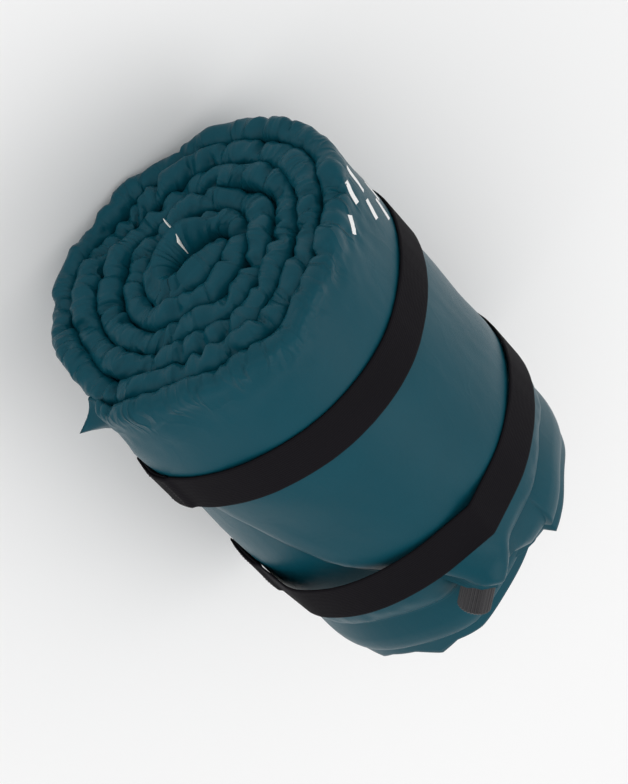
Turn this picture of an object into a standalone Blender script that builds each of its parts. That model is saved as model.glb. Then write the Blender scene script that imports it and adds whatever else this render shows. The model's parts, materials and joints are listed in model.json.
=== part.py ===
"""Rolled self-inflating sleeping mat: fabric skins, foam core, twist valve and two elastic bands.

The mat is folded in half along its length and rolled up, so a winding is a U in section: base fabric
outside, foam between, top fabric inside, the fold at -X and the open welded edges at +X.  The roll
lies on its side with its axis along X.  Lengths are metres.
"""

import math

import bmesh
import bpy
from mathutils import Matrix, Vector

# ---- mat ------------------------------------------------------------------------------------
MAT_LENGTH = 1.930
MAT_WIDTH = 0.582
FOAM = 0.0050  # one layer of foam, squeezed flat
FABRIC = 0.0006
SKIN_GAP = 0.0003  # between a fabric and the foam
LIP = 0.0012  # how far the base fabric leans in as it comes down over the foam's edge
SLOT = 0.0010  # between the two halves of a winding
WRAP_GAP = 0.0010  # between one winding and the next
CORE_GAP = 0.0010
HALF_DIFFERENCE = 0.034  # the inner half reaches further than the outer half
FLANGE = 0.008  # welded margin all round
OVALITY = 0.0092  # half of how much wider than high the roll is
STEPS_PER_TURN = 18
END_STEPS = 6  # steps over which the slanted end of the mat is drawn out
END_ANGLE = math.pi  # where the folded corner ends, from +Y towards +Z

# the slanted ends of the halves and their cut corners, as lengths over the roll's surface
OUTER_SLANT = 0.086
OUTER_CUT = 0.074
INNER_SLANT = 0.121
INNER_CUT = 0.070
OUTER_LIFT = 0.0012  # the last half turn lies a little looser
INNER_LIFT = 0.0005
SLANT_BREAKS = 4
CUT_BREAKS = 3
FOLD_ARC_STEPS = 4

# ---- elastic bands --------------------------------------------------------------------------
BAND_WIDTH = 0.032
BAND_THICKNESS = 0.0015
BAND_CLEARANCE = 0.0003
BAND_NEAR_X = 0.0805  # from the folded edge to the middle of the band
BAND_TO_VALVE = 0.0443  # from the middle of the far band to the valve
LAP_LENGTH = 0.030
LAP_STEP = 0.0004
LAP_MARGIN = 0.0035
THREAD_WIDTH = 0.0012
THREAD_HEIGHT = 0.0005
THREAD_GAP = 0.0003
BAND_SIDES = 40  # directions in which a band's sides can face
SHORTEST_SIDE = 0.002

# ---- valve ----------------------------------------------------------------------------------
VALVE_SHARE = 0.45  # how far along the cut corner the valve sits
CAP_RADIUS = 0.0103
CAP_LENGTH = 0.0190
CAP_RIBS = 28
RIB_DEPTH = 0.0006
CAP_EDGE = 0.0009
COLLAR_RADIUS = 0.0085
COLLAR_HEIGHT = 0.0024
NECK_RADIUS = 0.0065
NECK_LENGTH = 0.0115
BORE_RADIUS = 0.0045
THREAD_RIDGE = 0.0006
RIDGE_PITCH = 0.0035
RIDGES = 2
BOAT_WIDTH = 0.027
BOAT_DEPTH = 0.010
BOAT_THICKNESS = 0.0024
INLET_WIDTH = 0.012
INLET_HEIGHT = 0.0012
AIR_WAY = 0.006
FLOOR = 0.0006
RUNNING_GAP = 0.0004
HEAD_THICKNESS = 0.0020
LEDGE_THICKNESS = 0.0010
STEM_RADIUS = 0.0020
PLUG_RADIUS = 0.0040
PLUG_LENGTH = 0.0046
PLUG_EDGE = 0.0005
PLUG_HEIGHT = 0.0014  # over the root of the bore
SEAL_RADIUS = 0.00065
SEAL_STEPS = 8
SEAL_PROUD = 0.0002
ROUND_STEPS = 24

# ---- care label -----------------------------------------------------------------------------
LABEL_THICKNESS = 0.0004
LABEL_DEPTH = 0.034
LABEL_SETBACK = 0.001
LABEL_STATION = 13
LABEL_STEPS = 2

# ---- derived sizes --------------------------------------------------------------------------
FOAM_OUTER = FABRIC + SKIN_GAP
FOAM_INNER = FOAM_OUTER + FOAM
TOP_OUTER = FOAM_INNER + SKIN_GAP
TOP_INNER = TOP_OUTER + FABRIC
HALF_STACK = TOP_INNER + SLOT / 2
PITCH = 2 * HALF_STACK + WRAP_GAP
START_RADIUS = HALF_STACK + CORE_GAP / 2
STEP = 2 * math.pi / STEPS_PER_TURN
FREE_WIDTH = MAT_WIDTH - 2 * FLANGE - math.pi * HALF_STACK
OUTER_EDGE = HALF_STACK + (FREE_WIDTH - HALF_DIFFERENCE) / 2
INNER_EDGE = HALF_STACK + (FREE_WIDTH + HALF_DIFFERENCE) / 2
OUTER_CUT_START = OUTER_EDGE - OUTER_CUT
INNER_CUT_START = INNER_EDGE - INNER_CUT


def wound_angle(length):
    """Angle through which a length of mat winds, from the mean radius START_RADIUS + OVALITY / 2."""
    growth = PITCH / (4 * math.pi)
    first = START_RADIUS + OVALITY / 2
    return (math.sqrt(first * first + 4 * growth * length) - first) / (2 * growth)


START_ANGLE = END_ANGLE - wound_angle(MAT_LENGTH)
LAST_FULL = END_ANGLE - END_STEPS * STEP


def radius(angle):
    """Height of the winding's middle above the roll's centre at this angle."""
    return START_RADIUS + PITCH * (angle - START_ANGLE) / (2 * math.pi)


END_RADIUS = radius(END_ANGLE) + OVALITY / 2


def on_roll(x, angle, height):
    rho = radius(angle) + height
    return Vector((x, (rho + OVALITY) * math.cos(angle), rho * math.sin(angle)))


# ---- the mat's end --------------------------------------------------------------------------
def end_angle(x, outer):
    """Angle at which a half of the mat ends, x from the folded edge."""
    slant, cut, cut_start, edge = (
        (OUTER_SLANT, OUTER_CUT, OUTER_CUT_START, OUTER_EDGE)
        if outer
        else (INNER_SLANT, INNER_CUT, INNER_CUT_START, INNER_EDGE)
    )
    if x <= HALF_STACK:
        back = 0.0
    elif x <= cut_start:
        back = slant * (x - HALF_STACK) / (cut_start - HALF_STACK)
    else:
        back = slant + cut * min(1.0, (x - cut_start) / (edge - cut_start))
    return END_ANGLE - back / END_RADIUS


VALVE_X = INNER_CUT_START + VALVE_SHARE * INNER_CUT
VALVE_ANGLE = end_angle(VALVE_X, outer=False)
BAND_FAR_X = VALVE_X - BAND_TO_VALVE
VALVE_HEIGHT = CAP_RADIUS + RUNNING_GAP - HALF_STACK - WRAP_GAP
LAYER_DROP = VALVE_HEIGHT - INNER_LIFT + (HALF_STACK + SLOT / 2) / 2


def lift(outer, share):
    """How far the last part of the mat stands off the roll, share 0 to 1 along the slanted part."""
    return (OUTER_LIFT if outer else INNER_LIFT) * min(1.0, share * END_STEPS)


class Station:
    """One section through the winding: a plain angle, or a share of the slanted end.

    A setback moves the section from the mat's edge into the mat, along the roll's surface.
    """

    def __init__(self, angle=None, share=None, setback=0.0):
        self.angle = angle
        self.share = share
        self.setback = setback
        self.fine = share is not None

    def place(self, x, height, outer):
        if not self.fine:
            return on_roll(x, self.angle + self.setback / (START_RADIUS + OVALITY / 2), height)
        angle = LAST_FULL + self.share * (end_angle(x, outer) - LAST_FULL)
        return on_roll(x, angle - self.setback / END_RADIUS, height + lift(outer, self.share))


def grid_stations():
    """The evenly spaced sections, from the core outwards."""
    count = int((LAST_FULL - START_ANGLE) / STEP - 0.4)
    return [Station(angle=LAST_FULL - STEP * back) for back in range(count, -1, -1)]


def end_stations():
    return [Station(share=step / END_STEPS) for step in range(END_STEPS + 1)]


def core_station(setback=0.0):
    """The mat's first edge, in the core."""
    return Station(angle=START_ANGLE, setback=setback)


def last_station(setback=0.0):
    """The mat's slanted last edge."""
    return Station(share=1.0, setback=setback)


# ---- section of the winding -----------------------------------------------------------------
def breaks(cut_start, edge):
    """Places along X where the slanted end has points of its own."""
    slant = [HALF_STACK + (cut_start - HALF_STACK) * n / SLANT_BREAKS for n in range(1, SLANT_BREAKS + 1)]
    cut = [cut_start + (edge - cut_start) * n / CUT_BREAKS for n in range(1, CUT_BREAKS + 1)]
    return slant + cut


def leg(depth, edge_x, outer, fine):
    """Points of one half at a depth under the outer face, from the open edge to the fold."""
    side = 1 if outer else -1
    height = side * (HALF_STACK - depth)
    points = [(edge_x, height, outer)]
    if fine:
        places = breaks(OUTER_CUT_START, OUTER_EDGE) if outer else breaks(INNER_CUT_START, INNER_EDGE)
        points += [(x, height, outer) for x in reversed(places) if x < edge_x - LIP]
    points.append((HALF_STACK, height, outer))
    return points


def fold(depth, arc_steps):
    """Points round the fold, between the two legs."""
    reach = HALF_STACK - depth
    turns = [math.pi / 2 + math.pi * n / arc_steps for n in range(1, arc_steps)]
    return [(HALF_STACK + reach * math.cos(t), reach * math.sin(t), math.sin(t) >= 0) for t in turns]


def u_line(depth, outer_x, inner_x, arc_steps, fine):
    """The whole U at one depth, from the outer half's open edge to the inner half's."""
    outer_leg = leg(depth, outer_x, True, fine)
    inner_leg = leg(depth, inner_x, False, fine)
    return outer_leg + fold(depth, arc_steps) + inner_leg[::-1]


def base_section(fine, wall):
    """Outside and inside of the base fabric; a wall closes the mat's end as far as the slot."""
    low = HALF_STACK - FOAM_INNER
    depth = FOAM_INNER if wall else FABRIC
    outside = u_line(0.0, OUTER_EDGE - LIP, INNER_EDGE - LIP, FOLD_ARC_STEPS, fine)
    inside = u_line(depth, OUTER_EDGE - LIP - FABRIC, INNER_EDGE - LIP - FABRIC, 2, fine)
    outside = [(OUTER_EDGE, low, True), *outside, (INNER_EDGE, -low, False)]
    inside = [(OUTER_EDGE - FABRIC, low, True), *inside, (INNER_EDGE - FABRIC, -low, False)]
    return outside, inside


def foam_section(fine, wall):
    """Outside and inside of the foam core."""
    del wall
    inset = LIP + FABRIC + SKIN_GAP
    edges = (OUTER_EDGE - inset, INNER_EDGE - inset)
    return u_line(FOAM_OUTER, *edges, 2, fine), u_line(FOAM_INNER, *edges, 2, fine)


def top_section(fine, wall):
    """Outside and inside of the top fabric, which carries the welded margin."""
    del wall
    edges = (OUTER_EDGE + FLANGE, INNER_EDGE + FLANGE)
    return u_line(TOP_OUTER, *edges, 2, fine), u_line(TOP_INNER, *edges, 2, fine)


# ---- meshes ---------------------------------------------------------------------------------
def material(name, colour, roughness, metallic=0.0):
    made = bpy.data.materials.new(name)
    made.use_nodes = True
    shader = made.node_tree.nodes["Principled BSDF"]
    shader.inputs["Base Color"].default_value = (*colour, 1.0)
    shader.inputs["Roughness"].default_value = roughness
    shader.inputs["Metallic"].default_value = metallic
    return made


def add_object(name, mesh_data, paint, smooth=False):
    mesh = bpy.data.meshes.new(name)
    bmesh.ops.remove_doubles(mesh_data, verts=mesh_data.verts, dist=1e-6)
    bmesh.ops.recalc_face_normals(mesh_data, faces=mesh_data.faces)
    if mesh_data.calc_volume(signed=True) < 0:
        bmesh.ops.reverse_faces(mesh_data, faces=mesh_data.faces)
    mesh_data.to_mesh(mesh)
    mesh_data.free()
    mesh.materials.append(paint)
    if smooth:
        mesh.shade_smooth()
    made = bpy.data.objects.new(name, mesh)
    bpy.context.scene.collection.objects.link(made)
    return made


def add_face(mesh_data, corners):
    """A face from corners in order, leaving out repeated ones."""
    kept = []
    for corner in corners:
        if corner not in kept:
            kept.append(corner)
    if len(kept) > 2:
        mesh_data.faces.new(kept)


def add_panel(data, before, after, n, m):
    """Two triangles between neighbouring sections, split the same way at every depth of the mat."""
    if before[n].co.x < before[m].co.x:
        add_face(data, [before[n], before[m], after[m]])
        add_face(data, [before[n], after[m], after[n]])
    else:
        add_face(data, [before[n], before[m], after[n]])
        add_face(data, [before[m], after[m], after[n]])


def outline_of(lines):
    """The closed outline of a section, round its outside and back along its inside."""
    outside, inside = lines
    return outside + inside[::-1]


def match_points(coarse, fine_points):
    """For each point of the coarse outline, its index in the fine outline."""
    matched = []
    at = 0
    for x, height, _ in coarse:
        while abs(fine_points[at][0] - x) > 1e-7 or abs(fine_points[at][1] - height) > 1e-7:
            at += 1
        matched.append(at)
        at += 1
    return matched


def add_end_face(data, ring, lines):
    """Close an end of a sweep with triangles that run straight between its outside and inside.

    The outside goes first on the outer half and last on the inner half, so that every depth of
    the mat is split alike.
    """
    outside, inside = lines
    across = ring[: len(outside)], ring[len(outside) :][::-1]
    last_outside = len(outside) - 1
    last_inside = len(inside) - 1
    i = j = 0
    while i < last_outside or j < last_inside:
        if i == 0 or j == last_inside:
            step_outside = True
        elif i == last_outside - 1:
            step_outside = False
        else:
            gain = math.dist(outside[i][:2], inside[j + 1][:2]) - math.dist(outside[i + 1][:2], inside[j][:2])
            outer_half = outside[i + 1][2]
            step_outside = gain > -1e-6 if outer_half else gain > 1e-6
        if step_outside:
            add_face(data, [across[0][i], across[0][i + 1], across[1][j]])
            i += 1
        else:
            add_face(data, [across[0][i], across[1][j + 1], across[1][j]])
            j += 1


def sweep(name, section, stations, paint):
    """A closed solid: the section is placed at each station and neighbours are joined.

    stations is a list of (station, wall) pairs.  Where the outline gets its extra points, each
    long face simply takes them into its edge.
    """
    data = bmesh.new()
    rings = []
    for station, wall in stations:
        points = outline_of(section(station.fine, wall))
        rings.append([data.verts.new(station.place(*point)) for point in points])
    coarse_to_fine = match_points(outline_of(section(False, False)), outline_of(section(True, False)))
    for before, after in zip(rings, rings[1:]):
        size = len(before)
        if len(after) == size:
            for n in range(size):
                add_panel(data, before, after, n, (n + 1) % size)
            continue
        for n in range(size):
            m = (n + 1) % size
            first = coarse_to_fine[n]
            last = coarse_to_fine[m] if m else len(after)
            far_side = [after[k % len(after)] for k in range(first, last + 1)]
            add_face(data, [before[n], before[m], *reversed(far_side)])
    for ring, (station, wall) in ((rings[0], stations[0]), (rings[-1], stations[-1])):
        add_end_face(data, ring, section(station.fine, wall))
    return add_object(name, data, paint)


def bridged_stations(lead_in, lead_out):
    """Core end, even sections, then the slanted end; its first section repeats the last even one."""
    middle = [(station, False) for station in grid_stations()[:-1]]
    slanted = [(station, False) for station in end_stations()[:-1]]
    return lead_in + middle + slanted + lead_out


def build_mat(paints):
    wall = FABRIC
    inset = FABRIC + 2 * SKIN_GAP
    base = sweep(
        "base_fabric",
        base_section,
        bridged_stations(
            [(core_station(), True), (core_station(wall), True), (core_station(wall), False)],
            [(last_station(wall), False), (last_station(wall), True), (last_station(), True)],
        ),
        paints["polyester"],
    )
    foam = sweep(
        "foam_core",
        foam_section,
        bridged_stations([(core_station(inset), False)], [(last_station(inset), False)]),
        paints["foam"],
    )
    top = sweep(
        "top_fabric",
        top_section,
        bridged_stations([(core_station(), False)], [(last_station(), False), (last_station(-FLANGE), False)]),
        paints["polyester"],
    )
    return base, foam, top


# ---- bands ----------------------------------------------------------------------------------
def outline_up_to(solids, limit_x):
    """Y, Z points of the solids from the folded edge up to limit_x, cut there."""
    points = []
    for solid in solids:
        for edge in solid.data.edges:
            ends = [solid.data.vertices[n].co for n in edge.vertices]
            points += [(end.y, end.z) for end in ends if end.x <= limit_x]
            low, high = sorted(ends, key=lambda end: end.x)
            if low.x < limit_x < high.x:
                cut = low.lerp(high, (limit_x - low.x) / (high.x - low.x))
                points.append((cut.y, cut.z))
    return points


def convex_outline(points):
    """Convex hull, counterclockwise, with points that hardly bend it left out."""

    def bends_left(a, b, c):
        return (b[0] - a[0]) * (c[1] - a[1]) - (b[1] - a[1]) * (c[0] - a[0]) > 1e-7

    ordered = sorted(set(points))
    hull = []
    for sweep_points in (ordered, ordered[::-1]):
        chain = []
        for point in sweep_points:
            while len(chain) > 1 and not bends_left(chain[-2], chain[-1], point):
                chain.pop()
            chain.append(point)
        hull += chain[:-1]
    return [Vector(point) for point in hull]


def meeting_point(first, second):
    """Where two sides meet, each given by its outward normal and its distance from the origin."""
    (a, reach_a), (b, reach_b) = first, second
    return Vector((reach_a * b.y - reach_b * a.y, reach_b * a.x - reach_a * b.x)) / (a.x * b.y - a.y * b.x)


def wrapped_outline(hull):
    """An outline round the hull with sides in evenly spaced directions, and the number of its lap side.

    The hull's longest side, which carries the lap, keeps its own direction.  Sides that would be
    shorter than SHORTEST_SIDE are left out, and their neighbours meet instead.
    """
    ends = zip(hull, hull[1:] + hull[:1])
    along = max((end - start for start, end in ends), key=lambda side: side.length)
    lap_normal = Vector((along.y, -along.x)).normalized()
    turn = 2 * math.pi / BAND_SIDES
    even = [Vector((math.cos(turn * k), math.sin(turn * k))) for k in range(BAND_SIDES)]
    normals = [lap_normal] + [normal for normal in even if normal.angle(lap_normal) > 0.7 * turn]
    normals.sort(key=lambda normal: math.atan2(normal.y, normal.x))
    sides = [(normal, max(normal.dot(corner) for corner in hull)) for normal in normals]
    while True:
        corners = [meeting_point(sides[n - 1], sides[n]) for n in range(len(sides))]
        lengths = [(end - start).length for start, end in zip(corners, corners[1:] + corners[:1])]
        shortest = lengths.index(min(lengths))
        if lengths[shortest] > SHORTEST_SIDE:
            return corners, [normal for normal, _ in sides].index(lap_normal)
        sides.pop(shortest)


def offset_outline(outline, distances):
    """Each corner moved outwards so that its two sides move by its distance."""
    moved = []
    count = len(outline)
    for n, corner in enumerate(outline):
        to_corner = (corner - outline[n - 1]).normalized()
        from_corner = (outline[(n + 1) % count] - corner).normalized()
        first = Vector((to_corner.y, -to_corner.x))
        second = Vector((from_corner.y, -from_corner.x))
        middle = (first + second).normalized()
        moved.append(corner + middle * (distances[n] / middle.dot(first)))
    return moved


def add_band(name, middle_x, solids, paint, thread_paint):
    """An elastic band whose ends overlap on the roll's -Y side, with a stitched box on the lap."""
    hull, lap_side = wrapped_outline(convex_outline(outline_up_to(solids, middle_x + BAND_WIDTH / 2)))
    start = hull[lap_side]
    along = hull[(lap_side + 1) % len(hull)] - start
    room = along.length
    along.normalize()
    lap_start = (room - LAP_LENGTH) / 2
    marks = [lap_start, lap_start + LAP_STEP, room - lap_start - LAP_STEP, room - lap_start]
    added = [start + along * mark for mark in marks]
    outline = hull[: lap_side + 1] + added + hull[lap_side + 1 :]
    thickness = [BAND_THICKNESS] * len(outline)
    thickness[lap_side + 2] = 2 * BAND_THICKNESS
    thickness[lap_side + 3] = 2 * BAND_THICKNESS
    inner = offset_outline(outline, [BAND_CLEARANCE] * len(outline))
    outer = offset_outline(outline, [BAND_CLEARANCE + part for part in thickness])
    data = bmesh.new()
    rings = []
    for x in (middle_x - BAND_WIDTH / 2, middle_x + BAND_WIDTH / 2):
        for loop in (inner, outer):
            rings.append([data.verts.new((x, corner.x, corner.y)) for corner in loop])
    near_inner, near_outer, far_inner, far_outer = rings
    for first, second in (
        (near_inner, near_outer),
        (near_outer, far_outer),
        (far_outer, far_inner),
        (far_inner, near_inner),
    ):
        count = len(first)
        for n in range(count):
            m = (n + 1) % count
            data.faces.new([first[n], first[m], second[m], second[n]])
    band = add_object(name, data, paint)
    middle = (added[1] + added[2]) / 2
    out = Vector((along.y, -along.x))
    lap_top = BAND_CLEARANCE + 2 * BAND_THICKNESS + THREAD_GAP
    frame = Matrix(
        (
            (1.0, 0.0, 0.0, middle_x),
            (0.0, along.x, out.x, middle.x + out.x * lap_top),
            (0.0, along.y, out.y, middle.y + out.y * lap_top),
            (0.0, 0.0, 0.0, 1.0),
        )
    )
    stitches = add_stitch_box(name + "_stitching", frame, thread_paint)
    return band, stitches


def add_stitch_box(name, frame, paint):
    """A rectangular seam of thread, X across the band and Y along it."""
    half_x = BAND_WIDTH / 2 - LAP_MARGIN
    half_y = LAP_LENGTH / 2 - LAP_MARGIN
    data = bmesh.new()
    rings = []
    for inset, height in (
        (0.0, 0.0),
        (0.0, THREAD_HEIGHT),
        (THREAD_WIDTH, THREAD_HEIGHT),
        (THREAD_WIDTH, 0.0),
    ):
        corners = [(half_x, half_y), (-half_x, half_y), (-half_x, -half_y), (half_x, -half_y)]
        ring = []
        for x, y in corners:
            place = (math.copysign(abs(x) - inset, x), math.copysign(abs(y) - inset, y), height)
            ring.append(data.verts.new(place))
        rings.append(ring)
    for k, ring in enumerate(rings):
        other = rings[(k + 1) % 4]
        for n in range(4):
            m = (n + 1) % 4
            data.faces.new([ring[n], ring[m], other[m], other[n]])
    data.transform(frame)
    return add_object(name, data, paint)


# ---- valve ----------------------------------------------------------------------------------
VALVE_SHARE = 0.45  # how far along the cut corner the valve sits
def lathe(name, profile, paint, steps=ROUND_STEPS):
    """A turned solid about Z from (radius, height) corners; the profile is closed by its own ends."""
    data = bmesh.new()
    rings = []
    for reach, height in profile:
        if reach == 0.0:
            rings.append([data.verts.new((0.0, 0.0, height))] * steps)
            continue
        turns = [2 * math.pi * n / steps for n in range(steps)]
        rings.append([data.verts.new((reach * math.cos(t), reach * math.sin(t), height)) for t in turns])
    closed = profile[0][0] != 0.0
    pairs = list(zip(rings, rings[1:]))
    if closed:
        pairs.append((rings[-1], rings[0]))
    for first, second in pairs:
        for n in range(steps):
            m = (n + 1) % steps
            add_face(data, [first[n], first[m], second[m], second[n]])
    return add_object(name, data, paint, smooth=True)


def add_box(name, low, high, paint):
    data = bmesh.new()
    bmesh.ops.create_cube(data, size=1.0)
    middle = (Vector(low) + Vector(high)) / 2
    size = Vector(high) - Vector(low)
    data.transform(Matrix.Translation(middle) @ Matrix.Diagonal((*size, 1.0)))
    return add_object(name, data, paint)


def combine(target, tool, operation):
    """Apply a Boolean of tool to target and remove the tool."""
    change = target.modifiers.new(tool.name, "BOOLEAN")
    change.operation = operation
    change.solver = "EXACT"
    change.object = tool
    graph = bpy.context.evaluated_depsgraph_get()
    result = bpy.data.meshes.new_from_object(target.evaluated_get(graph))
    target.modifiers.clear()
    old = target.data
    target.data = result
    bpy.data.meshes.remove(old)
    bpy.data.objects.remove(tool)


def valve_frame():
    """World matrix of the valve: Z outwards through the cut corner, Y away from the roll."""
    nearby = STEP / 30
    ahead = on_roll(VALVE_X, VALVE_ANGLE + nearby, VALVE_HEIGHT)
    behind = on_roll(VALVE_X, VALVE_ANGLE - nearby, VALVE_HEIGHT)
    tangent = (ahead - behind).normalized()
    tangent.x = 0.0
    tangent.normalize()
    across = Vector((1.0, 0.0, 0.0))
    away = tangent.cross(across)
    if away.dot(on_roll(0.0, VALVE_ANGLE, 0.0)) < 0:
        away = -away
    outwards = (tangent + across).normalized()
    side = away.cross(outwards)
    place = on_roll(VALVE_X, VALVE_ANGLE, VALVE_HEIGHT)
    turn = Matrix((side, away, outwards)).transposed().to_4x4()
    return Matrix.Translation(place) @ turn


NECK_TOP = COLLAR_HEIGHT + NECK_LENGTH
CAP_BOTTOM = COLLAR_HEIGHT + RUNNING_GAP
CAP_TOP = CAP_BOTTOM + CAP_LENGTH
LEDGE_BOTTOM = NECK_TOP + RUNNING_GAP
HEAD_BOTTOM = LEDGE_BOTTOM + LEDGE_THICKNESS + RUNNING_GAP
HEAD_TOP = HEAD_BOTTOM + HEAD_THICKNESS
CAP_BORE = NECK_RADIUS + THREAD_RIDGE + RUNNING_GAP


def add_valve_body(paint):
    """Collar and threaded neck, with the flat boat that is welded between the fabrics."""
    ridges = []
    for k in range(1, RIDGES + 1):
        low = COLLAR_HEIGHT + k * RIDGE_PITCH
        ridges += [
            (NECK_RADIUS, low),
            (NECK_RADIUS + THREAD_RIDGE, low + THREAD_RIDGE),
            (NECK_RADIUS + THREAD_RIDGE, low + 2 * THREAD_RIDGE),
            (NECK_RADIUS, low + 3 * THREAD_RIDGE),
        ]
    profile = [
        (0.0, 0.0),
        (COLLAR_RADIUS, 0.0),
        (COLLAR_RADIUS, COLLAR_HEIGHT),
        (NECK_RADIUS, COLLAR_HEIGHT),
        *ridges,
        (NECK_RADIUS, NECK_TOP),
        (BORE_RADIUS, NECK_TOP),
        (BORE_RADIUS, 2 * FLOOR),
        (0.0, 2 * FLOOR),
    ]
    body = lathe("valve_body", profile, paint)
    half = BOAT_WIDTH / 2
    thick = BOAT_THICKNESS / 2
    boat = add_box("boat", (-half, -LAYER_DROP - thick, -BOAT_DEPTH), (half, thick - LAYER_DROP, FLOOR), paint)
    combine(body, boat, "UNION")
    wide = INLET_WIDTH / 2
    low = -LAYER_DROP - INLET_HEIGHT / 2
    inlet = add_box("inlet", (-wide, low, -2 * BOAT_DEPTH), (wide, low + INLET_HEIGHT, 2 * FLOOR), paint)
    combine(body, inlet, "DIFFERENCE")
    air_way = add_box("air_way", (-AIR_WAY / 2, low, FLOOR), (AIR_WAY / 2, 0.0, 3 * FLOOR), paint)
    combine(body, air_way, "DIFFERENCE")
    return body


def add_valve_plunger(paint):
    """Head held in the cap, stem, and a grooved plug that closes the bore."""
    groove = PLUG_RADIUS - 2 * SEAL_RADIUS
    plug_high = PLUG_HEIGHT + PLUG_LENGTH
    groove_low = PLUG_HEIGHT + (PLUG_LENGTH - 4 * SEAL_RADIUS) / 2
    profile = [
        (0.0, PLUG_HEIGHT),
        (PLUG_RADIUS - PLUG_EDGE, PLUG_HEIGHT),
        (PLUG_RADIUS, PLUG_HEIGHT + PLUG_EDGE),
        (PLUG_RADIUS, groove_low),
        (groove, groove_low),
        (groove, groove_low + 4 * SEAL_RADIUS),
        (PLUG_RADIUS, groove_low + 4 * SEAL_RADIUS),
        (PLUG_RADIUS, plug_high),
        (STEM_RADIUS, plug_high),
        (STEM_RADIUS, HEAD_BOTTOM),
        (CAP_BORE - 2 * RUNNING_GAP, HEAD_BOTTOM),
        (CAP_BORE - 2 * RUNNING_GAP, HEAD_TOP),
        (0.0, HEAD_TOP),
    ]
    return lathe("valve_plunger", profile, paint)


def add_valve_seal(paint):
    """O-ring in the plug's groove."""
    middle = PLUG_RADIUS - SEAL_RADIUS + SEAL_PROUD
    height = PLUG_HEIGHT + PLUG_LENGTH / 2
    turns = [2 * math.pi * n / SEAL_STEPS for n in range(SEAL_STEPS)]
    profile = [(middle + SEAL_RADIUS * math.cos(t), height + SEAL_RADIUS * math.sin(t)) for t in turns]
    return lathe("valve_seal", profile, paint)


def add_valve_cap(paint):
    """Ribbed screw cap, hollow from below, with a ledge that holds the plunger's head."""
    data = bmesh.new()
    rings = []
    for height, shrink in ((CAP_BOTTOM, 0.0), (CAP_TOP - CAP_EDGE, 0.0), (CAP_TOP, CAP_EDGE)):
        ring = []
        for rib in range(CAP_RIBS):
            for quarter, reach in enumerate((0.0, 0.0, -RIB_DEPTH, -RIB_DEPTH)):
                turn = 2 * math.pi * (rib + (quarter + 0.5) / 4) / CAP_RIBS
                out = CAP_RADIUS + reach - shrink
                ring.append(data.verts.new((out * math.cos(turn), out * math.sin(turn), height)))
        rings.append(ring)
    count = len(rings[0])
    for first, second in zip(rings, rings[1:]):
        for n in range(count):
            m = (n + 1) % count
            data.faces.new([first[n], first[m], second[m], second[n]])
    data.faces.new(rings[0][::-1])
    data.faces.new(rings[-1])
    cap = add_object("valve_cap", data, paint)
    ledge_top = LEDGE_BOTTOM + LEDGE_THICKNESS
    hollow = lathe(
        "hollow",
        [
            (0.0, COLLAR_HEIGHT),
            (CAP_BORE, COLLAR_HEIGHT),
            (CAP_BORE, LEDGE_BOTTOM),
            (STEM_RADIUS + 2 * RUNNING_GAP, LEDGE_BOTTOM),
            (STEM_RADIUS + 2 * RUNNING_GAP, ledge_top),
            (CAP_BORE - RUNNING_GAP, ledge_top),
            (CAP_BORE - RUNNING_GAP, HEAD_TOP + RUNNING_GAP),
            (0.0, HEAD_TOP + RUNNING_GAP),
        ],
        paint,
    )
    combine(cap, hollow, "DIFFERENCE")
    return cap


def build_valve(paints, skins):
    """The valve's pieces in place, and a pocket for its boat in the mat's layers."""
    frame = valve_frame()
    body = add_valve_body(paints["valve plastic"])
    cap = add_valve_cap(paints["cap plastic"])
    plunger = add_valve_plunger(paints["valve plastic"])
    seal = add_valve_seal(paints["silicone"])
    for piece in (body, cap, plunger, seal):
        piece.matrix_world = frame
    half = BOAT_WIDTH / 2 + BAND_CLEARANCE
    snug = BOAT_THICKNESS / 2 + BAND_CLEARANCE
    for skin, below, above in zip(skins, (snug, FOAM, snug), (FOAM, FOAM, snug)):
        low = (-half, -LAYER_DROP - below, -BOAT_DEPTH - BAND_CLEARANCE)
        pocket = add_box("pocket", low, (half, above - LAYER_DROP, 2 * FLANGE), paints["foam"])
        pocket.matrix_world = frame
        combine(skin, pocket, "DIFFERENCE")
    reach = CAP_RADIUS + RUNNING_GAP
    profile = [(0.0, -BAND_CLEARANCE), (reach, -BAND_CLEARANCE), (reach, CAP_TOP), (0.0, CAP_TOP)]
    round_pocket = lathe("round pocket", profile, paints["foam"])
    round_pocket.matrix_world = frame
    combine(skins[-1], round_pocket, "DIFFERENCE")
    return body, cap, plunger, seal


# ---- label ----------------------------------------------------------------------------------
def add_label(paint):
    """A care label tucked between two windings near the core, at the folded end."""
    stations = grid_stations()[LABEL_STATION : LABEL_STATION + LABEL_STEPS + 1]
    height = HALF_STACK + WRAP_GAP / 2
    data = bmesh.new()
    rings = []
    for station in stations:
        ring = []
        for x, rise in (
            (LABEL_SETBACK, -LABEL_THICKNESS / 2),
            (LABEL_SETBACK + LABEL_DEPTH, -LABEL_THICKNESS / 2),
            (LABEL_SETBACK + LABEL_DEPTH, LABEL_THICKNESS / 2),
            (LABEL_SETBACK, LABEL_THICKNESS / 2),
        ):
            ring.append(data.verts.new(station.place(x, height + rise, True)))
        rings.append(ring)
    for before, after in zip(rings, rings[1:]):
        for n in range(4):
            m = (n + 1) % 4
            data.faces.new([before[n], before[m], after[m], after[n]])
    data.faces.new(rings[0])
    data.faces.new(rings[-1][::-1])
    return add_object("care_label", data, paint)


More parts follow.
